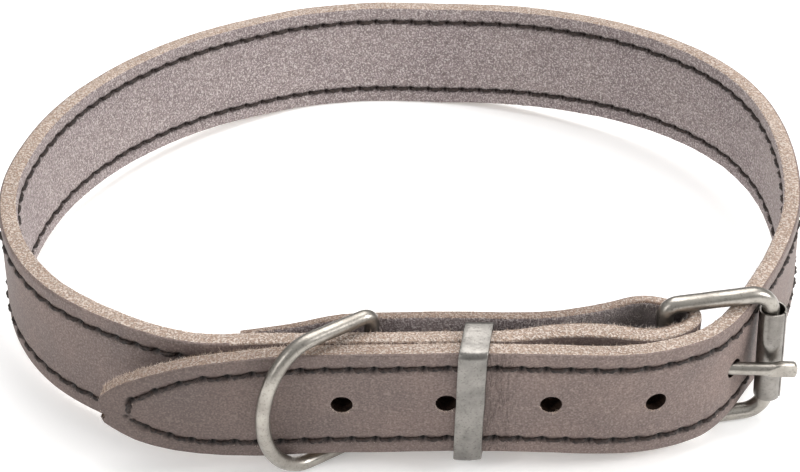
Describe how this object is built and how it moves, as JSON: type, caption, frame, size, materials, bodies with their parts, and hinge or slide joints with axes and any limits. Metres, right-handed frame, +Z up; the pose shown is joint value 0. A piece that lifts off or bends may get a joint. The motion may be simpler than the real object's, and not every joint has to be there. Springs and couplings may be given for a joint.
{
  "type": "dog collar",
  "caption": "Buckled leather dog collar: one sewn strap in an oval loop, with a roller buckle, a metal keeper and a D-ring caught in the fold.",
  "frame": {"origin": "middle of the collar's box at the height of the table it stands on", "axes": "+X along the collar's longer side, towards the buckle; +Y from the buckle side to the back of the neck; +Z up, across the strap"},
  "size_m": [0.1672, 0.1481, 0.0339],
  "materials": {
    "grey_leather": "smooth matte grain outside, napped flesh side inside, raw cut edges",
    "satin_nickel": "satin nickel plate",
    "matt_nickel": "matt"
  },
  "bodies": {
    "collar": {"strap": "grey_leather", "keeper": "matt_nickel", "buckle_frame": "satin_nickel", "buckle_tongue": "satin_nickel"},
    "ring": {"d_ring": "satin_nickel"},
    "roller": {"buckle_roller": "satin_nickel"}
  },
  "joints": [
    {"name": "d_ring_swing", "type": "hinge", "parent": "collar", "child": "ring", "pos_m": [-0.00645, -0.05966, 0.01705], "axis": [0.04, -0.0811, 0.9959], "range_deg": [0, 108]},
    {"name": "roller_spin", "type": "hinge", "parent": "collar", "child": "roller", "pos_m": [0.06929, -0.05143, 0.01621], "axis": [-0.0599, -0.0399, 0.9974], "continuous": true}
  ]
}
